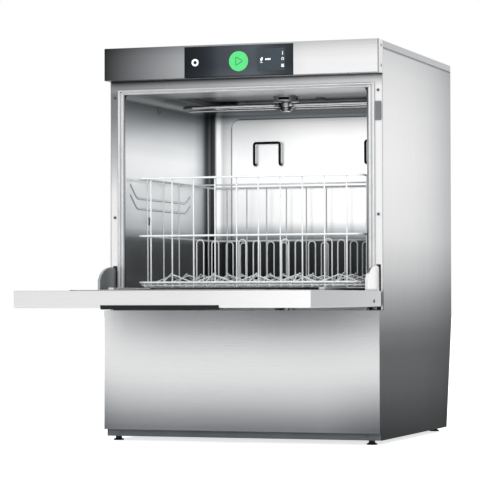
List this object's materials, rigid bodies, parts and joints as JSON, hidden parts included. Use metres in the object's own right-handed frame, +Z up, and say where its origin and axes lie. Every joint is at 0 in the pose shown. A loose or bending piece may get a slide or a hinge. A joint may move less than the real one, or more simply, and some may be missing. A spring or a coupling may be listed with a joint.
{
  "type": "undercounter commercial dishwasher",
  "caption": "Front-loading undercounter dishwasher with a drop-down door, control fascia, wash chamber, spray arms, tank and pumps, and a wire rack that slides out over the open door.",
  "frame": {"origin": "on the floor, in the middle of the box the machine fills with its door open: 0.073 m behind the front face of the cabinet, in the middle of its width", "axes": "+X to the viewer's right when facing the door, +Y from the front to the back, +Z up"},
  "size_m": [0.6, 1.066, 0.825],
  "materials": {
    "stainless_brushed": "fine directional brushing, satin",
    "stainless_plain": "smooth rolled 2B finish",
    "galvanised_dark": "dark satin coating",
    "screw_steel": "bright turned steel",
    "seal_grey": "light grey silicone",
    "seal_black": "black EPDM",
    "plastic_grey": "moulded, fine texture",
    "plastic_black": "moulded, satin",
    "brass": "turned",
    "cast_motor": "die cast",
    "rotor_steel": "turned",
    "control_glass": "glossy tinted pane",
    "display": "dark screen",
    "start_green": "lit, translucent",
    "power_black": "glossy with a white ring",
    "board_green": "solder resist",
    "white_coated_wire": "white plastic coating on wire"
  },
  "bodies": {
    "cabinet": {"base_frame": "galvanised_dark", "side_panel_right": "stainless_brushed", "side_panel_left": "stainless_brushed", "rear_panel": "stainless_brushed", "top_cover": "stainless_brushed", "control_fascia": "stainless_brushed", "lower_front_panel": "stainless_brushed", "casing_screws": "screw_steel", "front_frame": "stainless_brushed", "hinge_slot_seals": "seal_black", "seal_carrier": "stainless_plain", "door_gasket": "seal_grey", "door_catch": "plastic_grey", "hinge_ears": "stainless_plain", "wash_chamber": "stainless_plain", "rear_baffle": "stainless_plain", "baffle_handles": "plastic_black", "chamber_plugs": "plastic_black", "rack_rails": "stainless_plain", "arm_posts": "stainless_plain", "wash_tank": "stainless_plain", "tank_strainers": "stainless_plain", "filter_basket": "stainless_plain", "tank_heater": "stainless_plain", "wash_pump_casing": "plastic_grey", "wash_pump_motor": "cast_motor", "drain_pump": "plastic_grey", "drain_spigot": "plastic_black", "inlet_valve": "brass", "booster_boiler": "stainless_plain", "rinse_pump": "plastic_grey", "dosing_pumps": "plastic_grey", "control_box": "plastic_grey", "hoses": "seal_black", "power_cable": "plastic_black", "control_glass": "control_glass", "display_module": "display", "control_board": "board_green"},
    "door": {"door_outer_panel": "stainless_brushed", "door_inner_panel": "stainless_brushed", "door_grip": "plastic_black", "door_cheeks": "stainless_plain", "hinge_pins": "stainless_plain", "door_rack_guides": "stainless_plain", "door_screws": "screw_steel"},
    "rack": {"rack_rings": "white_coated_wire", "rack_uprights": "white_coated_wire", "rack_floor": "white_coated_wire", "rack_inserts": "white_coated_wire"},
    "upper_wash_arm": {"upper_wash_arm": "stainless_plain"},
    "upper_rinse_arm": {"upper_rinse_arm": "stainless_plain"},
    "lower_wash_arm": {"lower_wash_arm": "stainless_plain"},
    "lower_rinse_arm": {"lower_rinse_arm": "stainless_plain"},
    "wash_pump_rotor": {"wash_pump_rotor": "rotor_steel"},
    "start_button": {"start_button": "start_green"},
    "power_button": {"power_button": "power_black"},
    "foot_front_left": {"foot_front_left": "plastic_black"},
    "foot_front_right": {"foot_front_right": "plastic_black"},
    "foot_rear_left": {"foot_rear_left": "plastic_black"},
    "foot_rear_right": {"foot_rear_right": "plastic_black"}
  },
  "joints": [
    {"name": "door_hinge", "type": "hinge", "parent": "cabinet", "child": "door", "pos_m": [0, -0.065, 0.288], "axis": [-1, 0, 0], "range_deg": [0, 90]},
    {"name": "rack_slide", "type": "slide", "parent": "cabinet", "child": "rack", "axis": [0, 1, 0], "range_m": [-0.2, 0]},
    {"name": "upper_wash_arm_spin", "type": "hinge", "parent": "cabinet", "child": "upper_wash_arm", "pos_m": [0, 0.247, 0.7215], "axis": [0, 0, 1], "continuous": true},
    {"name": "upper_rinse_arm_spin", "type": "hinge", "parent": "cabinet", "child": "upper_rinse_arm", "pos_m": [0, 0.247, 0.7135], "axis": [0, 0, 1], "continuous": true},
    {"name": "lower_wash_arm_spin", "type": "hinge", "parent": "cabinet", "child": "lower_wash_arm", "pos_m": [0, 0.247, 0.276], "axis": [0, 0, 1], "continuous": true},
    {"name": "lower_rinse_arm_spin", "type": "hinge", "parent": "cabinet", "child": "lower_rinse_arm", "pos_m": [0, 0.247, 0.292], "axis": [0, 0, 1], "continuous": true},
    {"name": "wash_pump_spin", "type": "hinge", "parent": "cabinet", "child": "wash_pump_rotor", "pos_m": [0, 0.227, 0.085], "axis": [1, 0, 0], "continuous": true},
    {"name": "start_press", "type": "slide", "parent": "cabinet", "child": "start_button", "axis": [0, 1, 0], "range_m": [0, 0.0015]},
    {"name": "power_press", "type": "slide", "parent": "cabinet", "child": "power_button", "axis": [0, 1, 0], "range_m": [0, 0.0015]},
    {"name": "foot_front_left_level", "type": "slide", "parent": "cabinet", "child": "foot_front_left", "axis": [0, 0, -1], "range_m": [0, 0.02]},
    {"name": "foot_front_right_level", "type": "slide", "parent": "cabinet", "child": "foot_front_right", "axis": [0, 0, -1], "range_m": [0, 0.02]},
    {"name": "foot_rear_left_level", "type": "slide", "parent": "cabinet", "child": "foot_rear_left", "axis": [0, 0, -1], "range_m": [0, 0.02]},
    {"name": "foot_rear_right_level", "type": "slide", "parent": "cabinet", "child": "foot_rear_right", "axis": [0, 0, -1], "range_m": [0, 0.02]}
  ]
}
